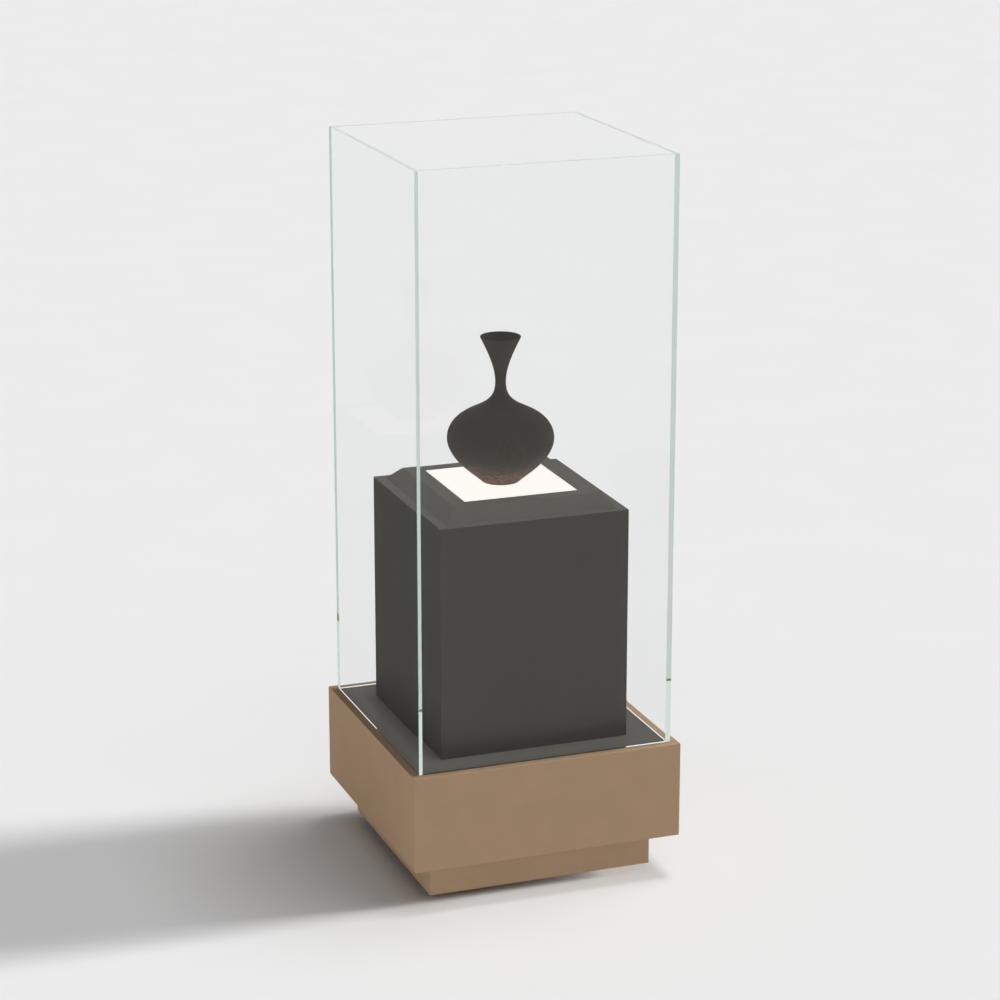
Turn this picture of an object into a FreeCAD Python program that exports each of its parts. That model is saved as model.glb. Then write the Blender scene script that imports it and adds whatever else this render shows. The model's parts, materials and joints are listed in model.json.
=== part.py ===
"""Floor-standing museum display case: a square tan base on a recessed toe kick, a charcoal plinth
with a bevelled cap and a light panel, and a four-sided clear acrylic hood, open at the top, that lifts off.

Millimetres, +Z up, front towards -Y. The origin is on the floor, under the middle of the case.
"""
import FreeCAD, Part
import math
import os

V = FreeCAD.Vector
UP = V(0, 0, 1)
ORIGIN = V(0, 0, 0)

# ---- driving dimensions ----------------------------------------------------------------------
base_width = 600.0          # square base box
base_height = 210.0
kick_inset = 49.0           # toe kick stands back from the base's faces
kick_height = 78.0
floor_gap = 21.0            # the levelling feet hold the toe kick this far off the floor
hood_inset = 17.0           # tan rim left outside the hood
hood_height = 1267.0
pane = 9.0                  # acrylic sheet
bond = 0.1                  # glue line: each mitred edge stops this far short, along its pane
seat_gap = 1.0              # rim to the underside of the hood
plinth_width = 420.0
plinth_height = 507.0
plinth_board = 20.0
cap_top_width = 320.0       # flat top of the bevelled cap; its foot fills the plinth's opening
cap_rise = 28.0
light_width = 252.0         # diffuser and tray under it
base_board = 25.0           # side panels of the base
board = 18.0                # deck, bottom board, toe kick and cap board
arris = 0.8                 # small chamfer on exposed edges
vase_wall = 5.0

# ---- levels ----------------------------------------------------------------------------------
kick_z = floor_gap
box_z = kick_z + kick_height
rim_z = box_z + base_height
hood_z = rim_z + seat_gap
hood_top_z = hood_z + hood_height
plinth_top_z = rim_z + plinth_height
cap_board_z = plinth_top_z - board
cap_z = plinth_top_z + cap_rise

# ---- half widths, from the middle of the case ------------------------------------------------
base_half = base_width / 2
kick_half = base_half - kick_inset
inside_half = base_half - base_board
hood_half = base_half - hood_inset
plinth_half = plinth_width / 2
plinth_inside = plinth_half - plinth_board
cap_half = cap_top_width / 2
light_half = light_width / 2

SIDES = {"front": 0, "right": 90, "back": 180, "left": 270}
CORNERS = {"front_left": (-1, -1), "front_right": (1, -1), "back_right": (1, 1), "back_left": (-1, 1)}


# ---- helpers ---------------------------------------------------------------------------------
def write(node, *solids):
    """Save one node, as a single solid or as a group of separate solids."""
    shape = solids[0] if len(solids) == 1 else Part.makeCompound(list(solids))
    shape.exportStep(f"parts/{node}.step")


def block(x, y, z):
    """A box from three (low, high) pairs."""
    return Part.makeBox(x[1] - x[0], y[1] - y[0], z[1] - z[0], V(x[0], y[0], z[0]))


def slab(half, low, high):
    return block((-half, half), (-half, half), (low, high))


def rod(x, y, low, high, radius):
    return Part.makeCylinder(radius, high - low, V(x, y, low))


def turned(shape, degrees):
    copy = shape.copy()
    copy.rotate(ORIGIN, UP, degrees)
    return copy


def hexagon(x, y, low, high, across_flats):
    corner = across_flats / math.sqrt(3)
    points = []
    for step in range(7):
        angle = math.radians(60 * step)
        points.append(V(x + corner * math.cos(angle), y + corner * math.sin(angle), low))
    return Part.Face(Part.makePolygon(points)).extrude(V(0, 0, high - low))


def closed_solid(faces):
    return Part.makeSolid(Part.makeShell(faces))


def polygon_face(points):
    return Part.Face(Part.makePolygon(points + [points[0]]))


def mitred_side(profile, short=0.0):
    """The front member of a square frame, from its (distance from middle, height) section.

    Both ends are cut at 45 degrees, each stopping short of the mitre plane by the given length.
    """
    left = [V(-out + short, -out, z) for out, z in profile]
    right = [V(out - short, -out, z) for out, z in profile]
    faces = [polygon_face(left), polygon_face(right)]
    for i in range(len(profile)):
        j = (i + 1) % len(profile)
        faces.append(polygon_face([left[i], left[j], right[j], right[i]]))
    return closed_solid(faces)


def write_frame(name, profile, short=0.0):
    side = mitred_side(profile, short)
    for word, degrees in SIDES.items():
        write(f"{name}_{word}", turned(side, degrees))


def square_ring(outer, inner, low, high):
    return slab(outer, low, high).cut(slab(inner, low, high))


def four_battens(outer, thick, low, high):
    """Square-cut battens round the inside of a box: two run through, two fit between them."""
    inner = outer - thick
    solids = []
    for sign in (-1, 1):
        edges = sorted((sign * inner, sign * outer))
        solids.append(block((-outer, outer), edges, (low, high)))
        solids.append(block(edges, (-inner, inner), (low, high)))
    return solids


def wood_screw(x, y, head_z, length, upwards=False, clearance=0.0):
    """A countersunk screw standing on the Z axis; its flat head is at head_z."""
    way = 1 if upwards else -1
    head_radius = 3.6 + clearance
    shank_radius = 1.8 + clearance
    head_depth = 2.4
    point_length = 4.0
    body_length = length - point_length
    outline = [
        V(0, 0, 0),
        V(head_radius, 0, 0),
        V(shank_radius, 0, way * head_depth),
        V(shank_radius, 0, way * body_length),
        V(0, 0, way * (length + clearance)),
    ]
    screw = polygon_face(outline).revolve(ORIGIN, UP, 360)
    screw = Part.makeSolid(screw.Shells[0]) if not screw.Solids else screw.Solids[0]
    screw.translate(V(x, y, head_z))
    return screw


def screws_and_holes(places, head_z, length, upwards=False):
    screws = [wood_screw(x, y, head_z, length, upwards) for x, y in places]
    holes = [wood_screw(x, y, head_z, length, upwards, 0.1) for x, y in places]
    return screws, holes


def drilled(shape, holes):
    return shape.cut(Part.makeCompound(holes))


def at_each_side(along, out):
    """Two places along each of the four sides, at the given distance from the middle."""
    places = []
    for sign in (-1, 1):
        for end in (-1, 1):
            places.append((end * along, sign * out))
            places.append((sign * out, end * along))
    return places


def at_each_corner(distance):
    return [(sx * distance, sy * distance) for sx, sy in CORNERS.values()]


# ---- levelling feet --------------------------------------------------------------------------
foot_place = 160.0          # distance of each foot from the two middle planes
foot_block_margin = 28.0    # timber left round each stem, towards the middle of the case
foot_block_low = 30.0
stem_radius = 4.0           # M8 thread, at its major diameter
running_gap = 0.06
pad_radius = 22.0
pad_height = 8.0
stem_top = 84.0
insert_radius = 6.0
insert_top = 58.0
insert_flange = 1.5
nut_flats = 13.0
nut_low = 22.0


def foot_pad(x, y):
    """Moulded foot: a round sole with a pocket that holds the stem's disc under a lip."""
    disc_room = 6.06
    lip_radius = 4.5
    outline = [
        V(0, 0, 0),
        V(pad_radius - 1, 0, 0),
        V(pad_radius, 0, 1),
        V(pad_radius, 0, 3),
        V(12, 0, pad_height),
        V(lip_radius, 0, pad_height),
        V(lip_radius, 0, 6.6),
        V(disc_room, 0, 6.6),
        V(disc_room, 0, 3),
        V(0, 0, 3),
    ]
    pad = polygon_face(outline).revolve(ORIGIN, UP, 360)
    pad.translate(V(x, y, 0))
    return pad.Solids[0] if pad.Solids else Part.makeSolid(pad.Shells[0])


def foot_stem(x, y):
    """Threaded stem with a disc that turns in the pad and a hexagon for a spanner."""
    disc = rod(x, y, 3.05, 6.5, 6.0)
    shank = rod(x, y, 6.5, stem_top - 1, stem_radius)
    tip = Part.makeCone(stem_radius, stem_radius - 1, 1, V(x, y, stem_top - 1))
    spanner_hex = hexagon(x, y, 10.0, 15.0, nut_flats)
    return disc.fuse([shank, tip, spanner_hex]).removeSplitter()


def threaded_insert(x, y):
    sleeve = rod(x, y, foot_block_low, insert_top, insert_radius)
    flange = rod(x, y, foot_block_low - insert_flange, foot_block_low, insert_radius + 3)
    bore = rod(x, y, foot_block_low - insert_flange, insert_top, stem_radius + running_gap)
    return sleeve.fuse(flange).cut(bore).removeSplitter()


def lock_nut(x, y):
    top = foot_block_low - insert_flange
    nut = hexagon(x, y, nut_low, top, nut_flats)
    return nut.cut(rod(x, y, nut_low, top, stem_radius + running_gap))


def make_feet():
    for word, (sx, sy) in CORNERS.items():
        x, y = sx * foot_place, sy * foot_place
        write(f"foot_pad_{word}", foot_pad(x, y))
        write(f"foot_stem_{word}", foot_stem(x, y))
    places = at_each_corner(foot_place)
    write("foot_inserts", *[threaded_insert(x, y) for x, y in places])
    write("foot_lock_nuts", *[lock_nut(x, y) for x, y in places])


# ---- base box and toe kick -------------------------------------------------------------------
gland_place = (0.0, 150.0)
gland_shank_radius = 8.0
batten = 20.0
batten_height = 30.0
block_screw_place = 188.0
cable_hole_place = (-150.0, 150.0)
cable_hole_radius = 15.0


def make_toe_kick():
    inner = kick_half - board
    profile = [(kick_half, kick_z + arris), (kick_half, box_z), (inner, box_z), (inner, kick_z),
               (kick_half - arris, kick_z)]
    write_frame("toe_kick", profile)


def make_foot_blocks(holes):
    """Blocks that fill the toe kick's corners and reach far enough in to take the feet."""
    near = foot_place - foot_block_margin
    far = kick_half - board
    solids = []
    for sx, sy in CORNERS.values():
        x, y = sx * foot_place, sy * foot_place
        x_edges = sorted((sx * near, sx * far))
        y_edges = sorted((sy * near, sy * far))
        solid = block(x_edges, y_edges, (foot_block_low, box_z))
        solid = solid.cut(rod(x, y, foot_block_low, insert_top, insert_radius))
        solid = solid.cut(rod(x, y, insert_top, stem_top + 6, stem_radius + 0.5))
        solids.append(drilled(solid, holes))
    write("foot_blocks", *solids)


def make_bottom_board(holes):
    sheet = slab(inside_half, box_z, box_z + board)
    sheet = sheet.cut(rod(*gland_place, box_z, box_z + board, gland_shank_radius))
    write("bottom_board", drilled(sheet, holes))


def make_base_box():
    outer = base_half
    profile = [(outer, box_z + arris), (outer, rim_z - arris), (outer - arris, rim_z), (inside_half, rim_z),
               (inside_half, box_z), (outer - arris, box_z)]
    write_frame("base_panel", profile)
    glue_block = 40.0
    solids = []
    for x, y in at_each_corner(inside_half - glue_block / 2):
        half = glue_block / 2
        low = box_z + board
        high = rim_z - board - batten_height
        solids.append(block((x - half, x + half), (y - half, y + half), (low, high)))
    write("corner_blocks", *solids)


def make_deck(deck_holes, cleat_holes, driver_holes):
    deck_low = rim_z - board
    sheet = slab(inside_half - 0.5, deck_low, rim_z)
    sheet = sheet.cut(rod(*cable_hole_place, deck_low, rim_z, cable_hole_radius))
    write("deck_panel", drilled(sheet, deck_holes + cleat_holes + driver_holes))
    battens = four_battens(inside_half, batten, deck_low - batten_height, deck_low)
    write("deck_battens", *[drilled(solid, deck_holes) for solid in battens])


def make_hood_gasket():
    """Flat glazing strip stuck to the rim, under the middle of the acrylic."""
    middle = hood_half - pane / 2
    strip_half = 3.0
    strip = square_ring(middle + strip_half, middle - strip_half, rim_z, rim_z + 0.8)
    write("hood_gasket", strip)


# ---- cable gland -----------------------------------------------------------------------------
cable_radius = 3.5
gland_low = 78.0
gland_top = 126.0


def make_cable_gland():
    x, y = gland_place
    flats = 22.0
    dome = Part.makeCone(7.5, 10.0, 9.0, V(x, y, gland_low))
    dome_nut = rod(x, y, gland_low + 9, 90.0, 10.0)
    flange = hexagon(x, y, 90.0, box_z, flats)
    shank = rod(x, y, box_z, gland_top, gland_shank_radius - 0.1)
    bore = rod(x, y, gland_low, gland_top, cable_radius)
    write("cable_gland", dome.fuse([dome_nut, flange, shank]).cut(bore).removeSplitter())
    nut_bottom = box_z + board
    nut = hexagon(x, y, nut_bottom, nut_bottom + 5, flats)
    write("gland_nut", nut.cut(rod(x, y, nut_bottom, nut_bottom + 5, gland_shank_radius)))


# ---- plinth ----------------------------------------------------------------------------------
cleat = 18.0
cleat_height = 30.0
cleat_half = plinth_inside - cleat / 2


def make_plinth(cleat_holes):
    outer = plinth_half
    profile = [(outer, rim_z), (outer, plinth_top_z - arris), (outer - arris, plinth_top_z),
               (plinth_inside, plinth_top_z), (plinth_inside, rim_z)]
    write_frame("plinth_panel", profile)
    lower = four_battens(plinth_inside, cleat, rim_z, rim_z + cleat_height)
    write("plinth_foot_cleats", *[drilled(solid, cleat_holes) for solid in lower])
    upper = four_battens(plinth_inside, cleat, cap_board_z - cleat_height, cap_board_z)
    write("cap_cleats", *upper)


# ---- lamp driver, its lead and the plug-in contact -------------------------------------------
driver_x = (-105.0, 65.0)
driver_y = (130.0, 168.0)
driver_height = 32.0
driver_ear = 12.0
lead_radius = 2.5
lead_bend = 24.0
socket_y = (148.0, 172.0)
socket_z = (758.0, 784.0)
contact_spacing = 16.0
clip_levels = (430.0, 530.0, 630.0)
lead_up_x = 120.0
lead_up_y = 181.0
socket_mid_y = sum(socket_y) / 2
driver_mid_y = sum(driver_y) / 2
driver_screw_places = [
    (driver_x[0] - driver_ear / 2, driver_mid_y),
    (driver_x[1] + driver_ear / 2, driver_mid_y),
]


def make_driver(holes):
    body = block(driver_x, driver_y, (rim_z, rim_z + driver_height))
    body = body.makeFillet(2.0, [e for e in body.Edges if abs(e.Vertexes[0].Z - e.Vertexes[1].Z) > 1])
    ears = block((driver_x[0] - driver_ear, driver_x[1] + driver_ear), (driver_mid_y - 9, driver_mid_y + 9),
                 (rim_z, rim_z + 3))
    write("lamp_driver", drilled(body.fuse(ears).removeSplitter(), holes))


def rounded_path(points, radius):
    """Straight runs joined by arcs of one radius that touch both runs."""
    edges = []
    start = points[0]
    for before, corner, after in zip(points, points[1:], points[2:]):
        back = (before - corner).normalize()
        ahead = (after - corner).normalize()
        half_angle = back.getAngle(ahead) / 2
        trim = radius / math.tan(half_angle)
        first = corner + back * trim
        last = corner + ahead * trim
        bisector = (back + ahead).normalize()
        middle = corner + bisector * (radius / math.sin(half_angle) - radius)
        edges.append(Part.LineSegment(start, first).toShape())
        edges.append(Part.Arc(first, middle, last).toShape())
        start = last
    edges.append(Part.LineSegment(start, points[-1]).toShape())
    return Part.Wire(edges)


def make_lead():
    """Low-voltage lead, clipped up the back of the plinth from the driver to the socket."""
    lead_z = rim_z + driver_height / 2
    points = [
        V(driver_x[1], driver_mid_y, lead_z),
        V(lead_up_x, driver_mid_y, lead_z),
        V(lead_up_x, lead_up_y, lead_z + 70),
        V(lead_up_x, lead_up_y, 665),
        V(0, socket_mid_y, 705),
        V(0, socket_mid_y, socket_z[0]),
    ]
    path = rounded_path(points, lead_bend)
    ring = Part.Wire(Part.makeCircle(lead_radius, points[0], V(1, 0, 0)))
    tube = path.makePipeShell([ring], True, True)
    expected = math.pi * lead_radius ** 2 * path.Length
    print("lamp lead length", round(path.Length, 1), "volume ratio", round(tube.Volume / expected, 4))
    write("lamp_lead", tube.Solids[0])


def make_lead_clips():
    solids = []
    for z in clip_levels:
        saddle = block((lead_up_x - 8, lead_up_x + 8), (lead_up_y - 5, plinth_inside), (z - 5, z + 5))
        solids.append(saddle.cut(rod(lead_up_x, lead_up_y, z - 5, z + 5, lead_radius + 0.1)))
    write("lead_clips", *solids)


def make_contacts():
    """The socket stays in the plinth; the plug is under the cap, and parts as the cap lifts."""
    pins = [-contact_spacing / 2, contact_spacing / 2]
    socket = block((-18, 18), socket_y, socket_z)
    for x in pins:
        socket = socket.cut(rod(x, socket_mid_y, socket_z[1] - 14, socket_z[1], 2.4))
    write("light_socket", socket)
    plug_low = socket_z[1] + 0.5
    plug = block((-16, 16), (socket_mid_y - 10, socket_mid_y + 10), (plug_low, cap_board_z))
    for x in pins:
        plug = plug.fuse(rod(x, socket_mid_y, plug_low - 11, plug_low, 2.0))
    write("light_plug", plug.removeSplitter())


# ---- bevelled cap and light box --------------------------------------------------------------
led_pitch = 36.0
led_rows = 6
diffuser_thickness = 4.0
tray_wall = 2.0


def make_cap(cap_holes):
    clearance = 0.5
    cap_foot = plinth_inside - clearance
    inner = light_half + clearance
    sheet = slab(cap_foot, cap_board_z, plinth_top_z)
    write("cap_board", drilled(sheet, cap_holes))
    profile = [(cap_foot, plinth_top_z), (cap_half, cap_z), (inner, cap_z), (inner, plinth_top_z)]
    side = mitred_side(profile)
    for word, degrees in SIDES.items():
        write(f"cap_bevel_{word}", drilled(turned(side, degrees), cap_holes))


def make_light_box():
    tray_top = cap_z - diffuser_thickness
    floor = plinth_top_z + tray_wall
    tray = slab(light_half, plinth_top_z, tray_top)
    tray = tray.cut(slab(light_half - tray_wall, floor, tray_top))
    write("light_tray", tray)
    board_half = light_half - 6
    board_top = floor + 1.6
    write("led_board", slab(board_half, floor, board_top))
    first = -led_pitch * (led_rows - 1) / 2
    chips = []
    for row in range(led_rows):
        for column in range(led_rows):
            x = first + column * led_pitch
            y = first + row * led_pitch
            chips.append(block((x - 2.5, x + 2.5), (y - 2.5, y + 2.5), (board_top, board_top + 1)))
    write("led_chips", *chips)
    write("light_diffuser", slab(light_half, tray_top, cap_z))


# ---- acrylic hood ----------------------------------------------------------------------------
def make_hood():
    """Four sheets, mitred on their shared upright edges and open at the top."""
    inner = hood_half - pane
    profile = [(hood_half, hood_z), (hood_half, hood_top_z), (inner, hood_top_z), (inner, hood_z)]
    write_frame("hood_pane", profile, bond)


# ---- exhibit vase ----------------------------------------------------------------------------
vase_outline = [                # radius, height above the diffuser
    (40.0, 0.0), (71.0, 26.0), (104.5, 63.0), (114.5, 93.0), (106.0, 124.0), (76.5, 150.5),
    (37.5, 171.0), (17.0, 191.0), (11.6, 213.0), (13.0, 236.0), (19.4, 260.0), (30.0, 287.0), (43.5, 315.0)]
vase_recess = (30.0, 3.0)       # radius and depth of the hollow under the foot


def inside_outline(outline, wall):
    """The outline moved inwards, square to itself, by the wall's thickness."""
    moved = []
    for i in range(1, len(outline)):
        before = outline[i - 1]
        after = outline[min(i + 1, len(outline) - 1)]
        run = after[0] - before[0]
        rise = after[1] - before[1]
        length = math.hypot(run, rise)
        radius, height = outline[i]
        moved.append((radius - wall * rise / length, height + wall * run / length))
    return moved


def smooth_edge(points):
    curve = Part.BSplineCurve()
    curve.interpolate(points)
    return curve.toShape()


def make_vase():
    outer = [V(radius, 0, cap_z + height) for radius, height in vase_outline]
    inner_floor = 9.0
    inner = [V(radius, 0, cap_z + height) for radius, height in inside_outline(vase_outline, vase_wall)]
    inner[0] = V(vase_outline[1][0] - 16, 0, cap_z + vase_outline[1][1])
    inner = [V(36, 0, cap_z + inner_floor)] + inner[:-1]
    lip_inside = V(vase_outline[-1][0] - 3.4, 0, cap_z + vase_outline[-1][1] + 0.4)
    inner.append(lip_inside)
    lip_middle = (outer[-1] + lip_inside) * 0.5 + V(0.1, 0, 1.6)
    recess_radius, recess_depth = vase_recess
    foot = [inner[0], V(0, 0, cap_z + inner_floor), V(0, 0, cap_z + recess_depth),
            V(recess_radius, 0, cap_z + recess_depth), V(recess_radius, 0, cap_z), outer[0]]
    edges = [smooth_edge(outer), Part.Arc(outer[-1], lip_middle, lip_inside).toShape()]
    edges.append(smooth_edge(inner[::-1]))
    for start, end in zip(foot, foot[1:]):
        edges.append(Part.LineSegment(start, end).toShape())
    half_section = Part.Face(Part.Wire(Part.__sortEdges__(edges)))
    vase = half_section.revolve(ORIGIN, UP, 360)
    vase = vase.Solids[0] if vase.Solids else Part.makeSolid(vase.Shells[0])
    print("vase volume", round(vase.Volume), "valid", vase.isValid())
    write("exhibit_vase", vase)


# ---- everything ------------------------------------------------------------------------------
os.makedirs("parts", exist_ok=True)

block_screws, block_holes = screws_and_holes(at_each_corner(block_screw_place), box_z + board, 45)
deck_screws, deck_holes = screws_and_holes(
    at_each_side(160, inside_half - batten / 2), rim_z - board - batten_height, 42, upwards=True)
cleat_screws, cleat_holes = screws_and_holes(at_each_side(80, cleat_half), rim_z + cleat_height, 42)
driver_screws, driver_holes = screws_and_holes(driver_screw_places, rim_z + 3, 16)
cap_screws, cap_holes = screws_and_holes(at_each_side(90, cap_half - 14), cap_board_z, 34, upwards=True)

make_feet()
make_toe_kick()
make_foot_blocks(block_holes)
make_bottom_board(block_holes)
make_base_box()
make_deck(deck_holes, cleat_holes, driver_holes)
make_hood_gasket()
make_cable_gland()
make_plinth(cleat_holes)
make_driver(driver_holes)
make_lead()
make_lead_clips()
make_contacts()
make_cap(cap_holes)
make_light_box()
make_hood()
make_vase()
write("block_screws", *block_screws)
write("deck_screws", *deck_screws)
write("plinth_screws", *cleat_screws)
write("driver_screws", *driver_screws)
write("cap_screws", *cap_screws)
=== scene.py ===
"""Looks for the museum display case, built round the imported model. Metres, +Z up, front towards -Y."""
import json
import math

import bmesh
import bpy
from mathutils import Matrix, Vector

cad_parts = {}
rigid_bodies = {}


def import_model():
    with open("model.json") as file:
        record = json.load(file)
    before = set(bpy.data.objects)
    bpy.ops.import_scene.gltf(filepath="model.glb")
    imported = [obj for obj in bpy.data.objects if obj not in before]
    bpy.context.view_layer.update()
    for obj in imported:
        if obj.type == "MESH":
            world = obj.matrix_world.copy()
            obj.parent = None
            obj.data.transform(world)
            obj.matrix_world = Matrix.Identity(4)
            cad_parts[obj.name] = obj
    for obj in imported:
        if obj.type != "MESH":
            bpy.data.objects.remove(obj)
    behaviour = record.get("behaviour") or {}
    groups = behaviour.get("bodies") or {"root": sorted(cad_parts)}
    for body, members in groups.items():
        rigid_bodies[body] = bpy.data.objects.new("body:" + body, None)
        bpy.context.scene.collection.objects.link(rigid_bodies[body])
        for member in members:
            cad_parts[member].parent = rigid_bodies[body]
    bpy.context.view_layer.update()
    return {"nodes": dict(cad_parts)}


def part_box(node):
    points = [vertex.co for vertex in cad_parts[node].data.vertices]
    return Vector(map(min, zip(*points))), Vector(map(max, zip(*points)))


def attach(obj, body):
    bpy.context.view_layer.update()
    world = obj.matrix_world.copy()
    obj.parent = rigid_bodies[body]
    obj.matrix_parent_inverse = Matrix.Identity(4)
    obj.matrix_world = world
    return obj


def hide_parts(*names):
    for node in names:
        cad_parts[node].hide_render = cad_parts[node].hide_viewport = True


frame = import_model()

nodes = frame["nodes"]

SIDES = ("front", "right", "back", "left")


# ---- node helpers ----------------------------------------------------------------------------
class Tree:
    """A material's node tree with short calls for the nodes that repeat."""

    def __init__(self, name):
        self.material = bpy.data.materials.new(name)
        self.material.use_nodes = True
        self.nodes = self.material.node_tree.nodes
        self.links = self.material.node_tree.links
        self.shader = self.nodes["Principled BSDF"]
        self.output = self.nodes["Material Output"]

    def add(self, kind, **values):
        node = self.nodes.new(kind)
        for key, value in values.items():
            if hasattr(node, key):
                setattr(node, key, value)
            else:
                node.inputs[key.replace("_", " ")].default_value = value
        return node

    def link(self, source, target):
        self.links.new(source, target)

    def set(self, **values):
        for key, value in values.items():
            self.shader.inputs[key.replace("_", " ")].default_value = value

    def place(self, scale=(1.0, 1.0, 1.0)):
        """Object coordinates, which are metres in the case's own frame."""
        coordinates = self.add("ShaderNodeTexCoord")
        mapping = self.add("ShaderNodeMapping", Scale=scale)
        self.link(coordinates.outputs["Object"], mapping.inputs["Vector"])
        return mapping.outputs["Vector"]

    def noise(self, vector, scale, detail=3.0, roughness=0.55):
        node = self.add("ShaderNodeTexNoise", Scale=scale, Detail=detail, Roughness=roughness)
        self.link(vector, node.inputs["Vector"])
        return node.outputs["Fac"]

    def ramp(self, value, *stops):
        """Colour ramp from (position, colour) stops. A colour may be one number for grey."""
        node = self.add("ShaderNodeValToRGB")
        elements = node.color_ramp.elements
        while len(elements) < len(stops):
            elements.new(0.5)
        for element, (position, colour) in zip(elements, stops):
            element.position = position
            rgb = (colour,) * 3 if isinstance(colour, (int, float)) else colour
            element.color = (*rgb, 1.0)
        self.link(value, node.inputs["Fac"])
        return node.outputs["Color"]

    def spread(self, value, low, high):
        """Two colours over the middle range, where most of a noise's values lie."""
        return self.ramp(value, (0.3, low), (0.7, high))

    def mix(self, amount, first, second, blend="MIX"):
        node = self.add("ShaderNodeMix", data_type="RGBA", blend_type=blend)
        for socket, value in ((node.inputs[0], amount), (node.inputs[6], first), (node.inputs[7], second)):
            if isinstance(value, bpy.types.NodeSocket):
                self.link(value, socket)
            else:
                socket.default_value = value if isinstance(value, (int, float)) else (*value, 1.0)
        return node.outputs[2]

    def add_heights(self, first, second, share):
        """The first height and a share of the second."""
        node = self.add("ShaderNodeMath", operation="MULTIPLY_ADD")
        self.link(second, node.inputs[0])
        node.inputs[1].default_value = share
        self.link(first, node.inputs[2])
        return node.outputs[0]

    def bump(self, height, distance, strength):
        """Relief of a full height of `distance` metres."""
        node = self.add("ShaderNodeBump", Strength=strength, Distance=distance)
        self.link(height, node.inputs["Height"])
        self.link(node.outputs["Normal"], self.shader.inputs["Normal"])

    def colour(self, socket):
        self.link(socket, self.shader.inputs["Base Color"])

    def roughness(self, value, low, high):
        node = self.add("ShaderNodeMapRange", To_Min=low, To_Max=high)
        self.link(value, node.inputs["Value"])
        self.link(node.outputs["Result"], self.shader.inputs["Roughness"])


def shade(colour, factor):
    return tuple(channel * factor for channel in colour)


# ---- materials -------------------------------------------------------------------------------
TAN = (0.405, 0.278, 0.176)
CHARCOAL = (0.108, 0.102, 0.090)
BOARD = (0.52, 0.40, 0.27)
MIRROR_TINT = (0.55, 0.55, 0.55, 1.0)    # of the lacquers' even mirror
ACRYLIC_INDEX = 1.49
ACRYLIC_SURFACE = (0.994, 0.996, 0.995, 1.0)
ACRYLIC_BODY = (0.25, 0.47, 0.36, 1.0)   # a metre of sheet absorbs at a rate of 1 minus this
PANEL_GLOW_SPAN = (0.025, 0.105)               # metres over the vase's foot in which the painted glow of the lit panel below, with brown speckle, fades out
WEAK_MIRROR = 0.012                      # the sheet's, at every angle outside
TRAPPED = (0.70, 0.98)                   # Fresnel share over which the mirror becomes a full one


def lacquer(name, colour, gloss, speckle, mirror):
    """Sprayed lacquer over board: soft mottling, a fine grain and a faint orange peel.

    The gloss is an even mirror, because the photo shows no brightening at low angles.
    """
    t = Tree(name)
    place = t.place()
    grain = t.noise(place, 900.0, 2.0, 0.7)
    cloud = t.noise(place, 14.0, 4.0, 0.6)
    peel = t.noise(place, 260.0, 2.0, 0.5)
    mottled = t.ramp(cloud, (0.30, shade(colour, 0.975)), (0.70, shade(colour, 1.025)))
    grained = t.ramp(grain, (0.36, 1.0 - speckle), (0.64, 1.0 + speckle))
    t.colour(t.mix(1.0, mottled, grained, "MULTIPLY"))
    t.roughness(cloud, gloss - 0.02, gloss + 0.02)
    t.set(Specular_IOR_Level=0.0, Metallic=mirror, Specular_Tint=MIRROR_TINT)
    t.bump(t.add_heights(peel, grain, 0.35), 0.00004, 0.3)
    return t.material


def sawn_board():
    t = Tree("sawn_board")
    long_grain = t.place((6.0, 60.0, 60.0))
    figure = t.noise(long_grain, 3.0, 6.0, 0.65)
    chips = t.noise(t.place(), 380.0, 3.0, 0.7)
    grained = t.spread(figure, shade(BOARD, 0.8), shade(BOARD, 1.15))
    chipped = t.ramp(chips, (0.35, shade(BOARD, 0.6)), (0.65, shade(BOARD, 1.2)))
    t.colour(t.mix(0.35, grained, chipped))
    t.set(Roughness=0.78)
    t.bump(chips, 0.0002, 0.6)
    return t.material


def planed_hardwood():
    t = Tree("planed_hardwood")
    rings = t.noise(t.place((55.0, 55.0, 5.0)), 2.4, 7.0, 0.6)
    t.colour(t.ramp(rings, (0.3, (0.24, 0.13, 0.06)), (0.5, (0.40, 0.25, 0.13)), (0.7, (0.50, 0.33, 0.18))))
    t.set(Roughness=0.55)
    t.bump(rings, 0.0002, 0.4)
    return t.material


def clear_acrylic():
    """Clear sheet with a faint green body.

    It is a weak mirror from outside and a full one past the critical angle from inside.
    """
    t = Tree("clear_acrylic")
    t.nodes.remove(t.shader)
    bend = t.add("ShaderNodeBsdfRefraction", Roughness=0.0, IOR=ACRYLIC_INDEX, Color=ACRYLIC_SURFACE)
    mirror = t.add("ShaderNodeBsdfAnisotropic", Roughness=0.0, Color=(1.0, 1.0, 1.0, 1.0))
    edge = t.add("ShaderNodeFresnel", IOR=ACRYLIC_INDEX)
    share = t.add("ShaderNodeMapRange", From_Min=TRAPPED[0], From_Max=TRAPPED[1], To_Min=WEAK_MIRROR, To_Max=1.0)
    t.link(edge.outputs["Fac"], share.inputs["Value"])
    both = t.add("ShaderNodeMixShader")
    t.link(share.outputs["Result"], both.inputs[0])
    t.link(bend.outputs[0], both.inputs[1])
    t.link(mirror.outputs[0], both.inputs[2])
    t.link(both.outputs[0], t.output.inputs["Surface"])
    volume = t.add("ShaderNodeVolumeAbsorption", Color=ACRYLIC_BODY, Density=1.0)
    t.link(volume.outputs["Volume"], t.output.inputs["Volume"])
    return t.material


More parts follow.
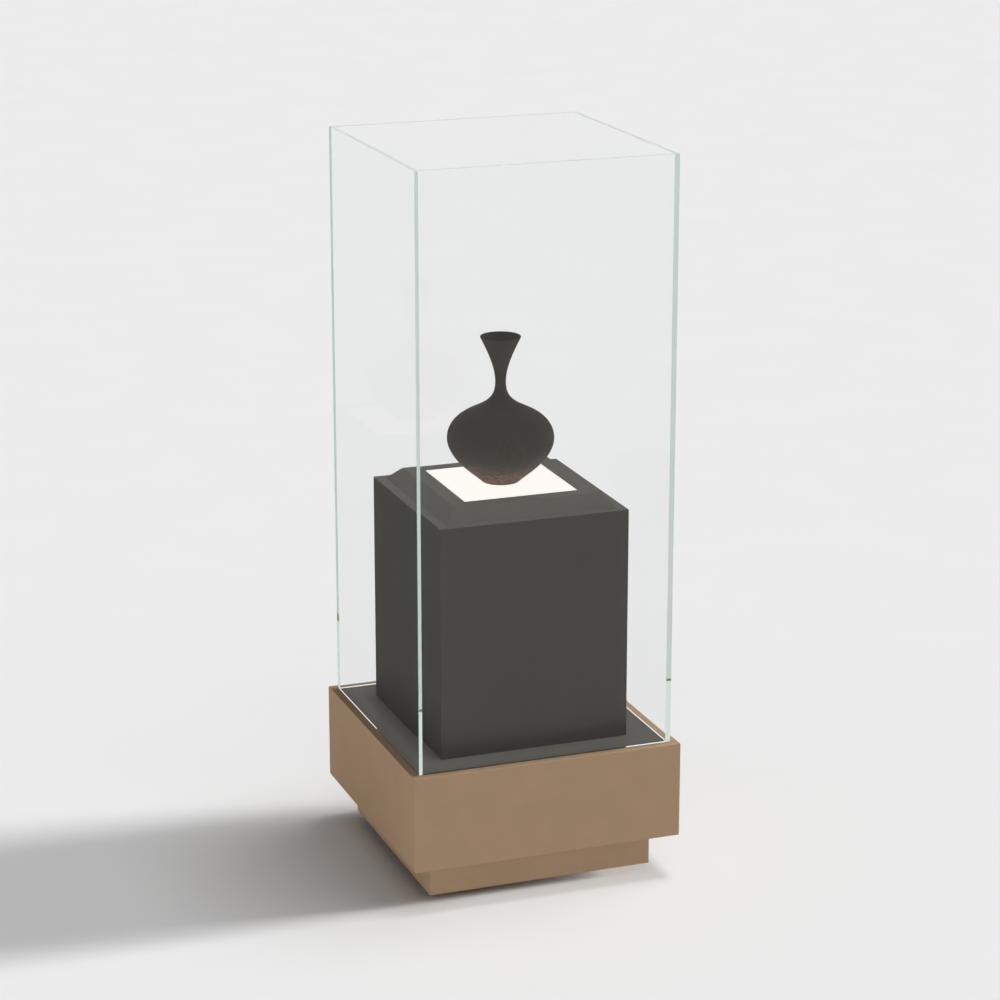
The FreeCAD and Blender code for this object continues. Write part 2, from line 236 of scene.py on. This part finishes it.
def sawn_edge_painted_glow():
    """The sheets' top ends, scraped after sawing, with fine drag marks across the thickness. Their pale green
    colour is partly painted glow, the light that the sheet carries to its ends.
    """
    t = Tree("sawn_edge_painted_glow")
    drag = t.noise(t.place(), 420.0, 2.0, 0.6)
    # pale green: partly painted glow of the light carried along the sheet to its top end
    t.colour(t.spread(drag, (0.46, 0.52, 0.49), (0.52, 0.58, 0.55)))
    t.roughness(drag, 0.35, 0.5)
    t.bump(drag, 0.00005, 0.4)
    return t.material


def opal_light():
    """Opal sheet lit from behind, with a faint cloudiness. It has no gloss, so that its glow is even."""
    t = Tree("opal_light")
    haze = t.noise(t.place(), 9.0, 2.0, 0.5)
    t.colour(t.spread(haze, (0.42, 0.41, 0.39), (0.45, 0.44, 0.42)))
    t.set(Roughness=0.5, Specular_IOR_Level=0.0, Emission_Strength=0.96)
    glow = t.spread(haze, (1.0, 0.952, 0.902), (1.0, 0.960, 0.912))
    t.link(glow, t.shader.inputs["Emission Color"])
    return t.material


def mill_aluminium():
    t = Tree("mill_aluminium")
    drawn = t.noise(t.place((400.0, 8.0, 400.0)), 1.5, 3.0, 0.6)
    t.colour(t.spread(drawn, 0.66, 0.82))
    t.set(Metallic=1.0)
    t.roughness(drawn, 0.28, 0.42)
    t.bump(drawn, 0.00005, 0.4)
    return t.material


def moulded(name, colour, gloss):
    """Moulded plastic with a fine spark-eroded grain."""
    t = Tree(name)
    place = t.place()
    grain = t.noise(place, 700.0, 2.0, 0.6)
    cloud = t.noise(place, 30.0, 3.0, 0.5)
    t.colour(t.spread(cloud, shade(colour, 0.88), shade(colour, 1.12)))
    t.roughness(cloud, gloss - 0.05, gloss + 0.05)
    t.bump(grain, 0.0001, 0.5)
    return t.material


def zinc_plate():
    t = Tree("zinc_plate")
    place = t.place()
    spangle = t.noise(place, 160.0, 3.0, 0.6)
    t.colour(t.spread(spangle, (0.50, 0.50, 0.48), (0.68, 0.68, 0.66)))
    t.set(Metallic=1.0)
    t.roughness(spangle, 0.26, 0.44)
    t.bump(t.noise(place, 900.0, 2.0, 0.6), 0.00005, 0.4)
    return t.material


def lamp_board():
    """White solder mask with copper tracks showing faintly under it."""
    t = Tree("lamp_board")
    tracks = t.add("ShaderNodeTexBrick", Scale=28.0, Mortar_Size=0.03)
    t.link(t.place(), tracks.inputs["Vector"])
    t.colour(t.ramp(tracks.outputs["Fac"], (0.0, (0.84, 0.84, 0.82)), (1.0, (0.72, 0.70, 0.62))))
    t.set(Roughness=0.4)
    t.bump(tracks.outputs["Fac"], 0.0001, 0.4)
    return t.material


def phosphor():
    t = Tree("phosphor")
    cloud = t.noise(t.place(), 500.0, 2.0, 0.5)
    t.colour(t.spread(cloud, (0.90, 0.74, 0.30), (0.96, 0.86, 0.46)))
    t.set(Roughness=0.3, Emission_Color=(1.0, 0.86, 0.66, 1.0), Emission_Strength=2.0)
    return t.material


def dark_clay(foot_z):
    """Unglazed dark clay with fine sandy speckle. Towards the foot it is painted lighter and browner as the glow
    of the lit panel below, mixed with the clay's brown speckle.
    """
    t = Tree("dark_clay")
    place = t.place()
    sand = t.noise(place, 520.0, 2.0, 0.75)
    cloud = t.noise(place, 34.0, 4.0, 0.6)
    grit = t.noise(place, 160.0, 4.0, 0.9)
    body = t.ramp(sand, (0.34, (0.058, 0.053, 0.047)), (0.56, (0.084, 0.076, 0.067)),
                  (0.74, (0.150, 0.112, 0.086)))
    rusty = t.ramp(grit, (0.40, (0.060, 0.050, 0.043)), (0.52, (0.088, 0.070, 0.056)),
                   (0.64, (0.165, 0.112, 0.080)))
    patches = t.ramp(t.noise(place, 11.0, 2.0, 0.5), (0.45, 0.0), (0.62, 0.75))
    body = t.mix(patches, body, rusty)
    # painted glow of the lit panel below on the vase's lowest part, speckled like the clay's brown speckle
    panel_glow_speckle = t.ramp(grit, (0.40, (0.032, 0.023, 0.018)), (0.50, (0.072, 0.049, 0.036)),
                  (0.60, (0.32, 0.18, 0.115)))
    height = t.add("ShaderNodeSeparateXYZ")
    coordinates = t.add("ShaderNodeTexCoord")
    t.link(coordinates.outputs["Object"], height.inputs[0])
    uneven = t.add("ShaderNodeMath", operation="MULTIPLY_ADD")
    t.link(cloud, uneven.inputs[0])
    uneven.inputs[1].default_value = 0.05
    t.link(height.outputs["Z"], uneven.inputs[2])
    fade = t.add("ShaderNodeMapRange", interpolation_type="SMOOTHSTEP", From_Min=foot_z + PANEL_GLOW_SPAN[0],
                 From_Max=foot_z + PANEL_GLOW_SPAN[1], To_Min=1.0, To_Max=0.0)
    t.link(uneven.outputs[0], fade.inputs["Value"])
    t.colour(t.mix(fade.outputs["Result"], body, panel_glow_speckle))
    t.roughness(cloud, 0.82, 0.95)
    t.set(Specular_IOR_Level=0.3)
    t.bump(t.add_heights(sand, cloud, 0.6), 0.0003, 0.55)
    return t.material


# ---- materials onto the frame ----------------------------------------------------------------
def paint(material, *names):
    for name in names:
        mesh = nodes[name].data
        mesh.materials.clear()
        mesh.materials.append(material)


def paint_sides(material, stem):
    paint(material, *[f"{stem}_{side}" for side in SIDES])


def dress_frame():
    tan = lacquer("tan_lacquer", TAN, 0.45, 0.09, 0.05)
    charcoal = lacquer("charcoal_lacquer", CHARCOAL, 0.14, 0.10, 0.16)
    black = moulded("black_nylon", (0.03, 0.03, 0.032), 0.5)
    paint_sides(tan, "toe_kick")
    paint_sides(tan, "base_panel")
    paint_sides(charcoal, "plinth_panel")
    paint_sides(charcoal, "cap_bevel")
    paint(charcoal, "deck_panel")
    paint(sawn_board(), "bottom_board", "cap_board", "corner_blocks", "deck_battens",
          "plinth_foot_cleats", "cap_cleats")
    paint(planed_hardwood(), "foot_blocks")
    paint(moulded("glazing_strip", (0.03, 0.03, 0.03), 0.7), "hood_gasket")
    paint(opal_light(), "light_diffuser")
    paint(mill_aluminium(), "light_tray")
    paint(lamp_board(), "led_board")
    paint(phosphor(), "led_chips")
    paint(moulded("driver_case", (0.72, 0.72, 0.70), 0.45), "lamp_driver")
    paint(black, "light_socket", "light_plug", "lead_clips", "cable_gland", "gland_nut")
    paint(moulded("lead_jacket", (0.04, 0.04, 0.04), 0.4), "lamp_lead")
    zinc = zinc_plate()
    paint(zinc, "foot_inserts", "foot_lock_nuts", "block_screws", "deck_screws", "plinth_screws",
          "driver_screws", "cap_screws")
    pad_plastic = moulded("pad_nylon", (0.05, 0.05, 0.05), 0.6)
    for name in nodes:
        if name.startswith("foot_stem_"):
            paint(zinc, name)
        if name.startswith("foot_pad_"):
            paint(pad_plastic, name)


def dress_vase():
    low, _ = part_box("exhibit_vase")
    paint(dark_clay(low.z), "exhibit_vase")


# ---- hood ------------------------------------------------------------------------------------
def make_hood():
    """The four glued sheets as the one clear body that they are to light, open above and below."""
    panes = [f"hood_pane_{side}" for side in SIDES]
    low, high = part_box("hood_pane_left")
    outer = -low.x
    inner = -high.x
    rings = [(inner, low.z), (outer, low.z), (outer, high.z), (inner, high.z)]
    corners = ((-1, -1), (1, -1), (1, 1), (-1, 1))
    form = bmesh.new()
    loops = [[form.verts.new((x * half, y * half, z)) for x, y in corners] for half, z in rings]
    for first, second in ((0, 1), (1, 2), (2, 3), (3, 0)):
        for i in range(4):
            j = (i + 1) % 4
            face = form.faces.new((loops[first][i], loops[second][i], loops[second][j], loops[first][j]))
            top_end = first == 2
            face.material_index = 1 if top_end else 0
    bmesh.ops.recalc_face_normals(form, faces=form.faces)
    mesh = bpy.data.meshes.new("hood_acrylic")
    form.to_mesh(mesh)
    form.free()
    hood = bpy.data.objects.new("hood_acrylic", mesh)
    bpy.context.scene.collection.objects.link(hood)
    mesh.materials.append(clear_acrylic())
    # the top ends get the scraped finish with its painted glow
    mesh.materials.append(sawn_edge_painted_glow())
    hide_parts(*panes)
    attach(hood, "hood")


# ---- room ------------------------------------------------------------------------------------
WIDTH = 0.6                      # of the base, the unit of the camera's distance
CAMERA_TURN = 20.285             # degrees to the left of the front
CAMERA_LIFT = 16.555             # degrees above the horizon
CAMERA_DISTANCE = 10.711 * WIDTH
CAMERA_LENS = 107.85             # millimetres, on a frame SENSOR wide
SENSOR = 36.0
TARGET = Vector((0.0, 0.0, 0.7986))
FLOOR_REACH = 60.0               # from the middle to each side


def make_camera():
    camera = bpy.data.objects.new("camera", bpy.data.cameras.new("camera"))
    bpy.context.scene.collection.objects.link(camera)
    turn = math.radians(CAMERA_TURN)
    lift = math.radians(CAMERA_LIFT)
    back = Vector((-math.sin(turn) * math.cos(lift), -math.cos(turn) * math.cos(lift), math.sin(lift)))
    camera.location = TARGET + back * CAMERA_DISTANCE
    camera.rotation_mode = "QUATERNION"
    camera.rotation_quaternion = (-back).to_track_quat("-Z", "Y")
    camera.data.lens = CAMERA_LENS
    camera.data.sensor_width = SENSOR
    camera.data.clip_end = 200.0
    bpy.context.scene.camera = camera


def make_floor():
    half = FLOOR_REACH
    corners = [(-half, -half, 0), (half, -half, 0), (half, half, 0), (-half, half, 0)]
    mesh = bpy.data.meshes.new("floor")
    mesh.from_pydata(corners, [], [(0, 1, 2, 3)])
    floor = bpy.data.objects.new("floor", mesh)
    bpy.context.scene.collection.objects.link(floor)
    t = Tree("studio_floor")
    fine = t.noise(t.place(), 3.0, 2.0, 0.5)
    t.colour(t.spread(fine, 0.845, 0.855))
    t.set(Roughness=0.9, Specular_IOR_Level=0.0)
    mesh.materials.append(t.material)
    return floor


# strengths of the room
AMBIENT = 0.199                  # as light on the pieces and the floor
SEEN = 0.84                      # as seen past the floor's far edge
MIRRORED = 1.0                   # in polished surfaces and in the hood's edges
# Each lamp lights one group of pieces, named last, and its values were fitted to the photo.
# name, turn from +X and rise in degrees, softness in degrees, strength, group
LAMPS = (
    ("key_floor", -5.7, 7.6, 10.3, 10.2, "floor"),
    ("key_object", 0, 60, 10, 1.65, "object"),
    ("overhead", 0, 79, 19, 0.9, "outside"),
    ("front", -93, 65, 50, 0.28, "outside"),
    ("left_fill", -165, 3, 60, 1.39, "object"),
    ("front_fill", -90, 3, 60, 0.60, "object"),
    ("inside_top", -60, 87, 12, 2.8, "inside"),
    ("vase_top", -60, 70, 90, 0.4, "vase"),
)


def make_world():
    """A room that is dim as diffuse light, pale as seen straight or through the hood, and white in reflections."""
    world = bpy.data.worlds.new("studio")
    world.use_nodes = True
    tree = world.node_tree
    path = tree.nodes.new("ShaderNodeLightPath")

    def once_bounced(depth, value):
        """A switch that gives `value` once the ray has a bounce of this kind behind it."""
        bounced = tree.nodes.new("ShaderNodeMath")
        bounced.operation = "GREATER_THAN"
        bounced.inputs[1].default_value = 0.5
        tree.links.new(path.outputs[depth], bounced.inputs[0])
        switch = tree.nodes.new("ShaderNodeMix")
        tree.links.new(bounced.outputs[0], switch.inputs[0])
        switch.inputs[3].default_value = value
        return switch

    mirrored = once_bounced("Glossy Depth", MIRRORED)
    mirrored.inputs[2].default_value = SEEN
    diffuse = once_bounced("Diffuse Depth", AMBIENT)
    tree.links.new(mirrored.outputs[0], diffuse.inputs[2])
    background = tree.nodes["Background"]
    background.inputs["Color"].default_value = (1.0, 1.0, 1.0, 1.0)
    tree.links.new(diffuse.outputs[0], background.inputs["Strength"])
    world.cycles.sampling_method = "NONE"
    bpy.context.scene.world = world


def make_lights(floor):
    make_world()
    inside = [nodes[name] for name in nodes
              if name.startswith(("plinth_panel_", "cap_bevel_")) or name == "deck_panel"]
    vase = [piece for piece in bpy.data.objects if piece.name.startswith("exhibit")]
    # the lit panel has its own light, and is in no group
    skipped = inside + vase + [floor, nodes["light_diffuser"]]
    shell = [piece for piece in bpy.data.objects if piece.type == "MESH" and piece not in skipped]
    receivers = {"outside": shell + [floor], "object": shell, "floor": [floor], "inside": inside,
                 "vase": vase}
    groups = {}
    for word, pieces in receivers.items():
        groups[word] = bpy.data.collections.new(f"lit_{word}")
        for piece in pieces:
            groups[word].objects.link(piece)
    for name, turn, rise, softness, strength, group in LAMPS:
        sun = bpy.data.lights.new(name, "SUN")
        sun.energy = strength
        sun.angle = math.radians(softness)
        lamp = bpy.data.objects.new(name, sun)
        bpy.context.scene.collection.objects.link(lamp)
        rise = math.radians(rise)
        turn = math.radians(turn)
        level = math.cos(rise)
        towards = Vector((math.cos(turn) * level, math.sin(turn) * level, math.sin(rise)))
        lamp.rotation_mode = "QUATERNION"
        lamp.rotation_quaternion = towards.to_track_quat("Z", "Y")
        lamp.visible_transmission = False
        lamp.light_linking.receiver_collection = groups[group]
        if group in ("inside", "vase"):
            # shaded only by the pieces inside, and not seen in gloss, where it would be a hot spot
            lamp.visible_glossy = False
            lamp.light_linking.blocker_collection = groups["inside"]


def set_look():
    scene = bpy.context.scene
    scene.view_settings.view_transform = "Standard"
    # light is trapped in the hood's edges for many bounces
    scene.cycles.max_bounces = 128
    scene.cycles.transmission_bounces = 64
    scene.cycles.glossy_bounces = 128


make_camera()
dress_frame()
make_hood()
dress_vase()
make_lights(make_floor())
set_look()
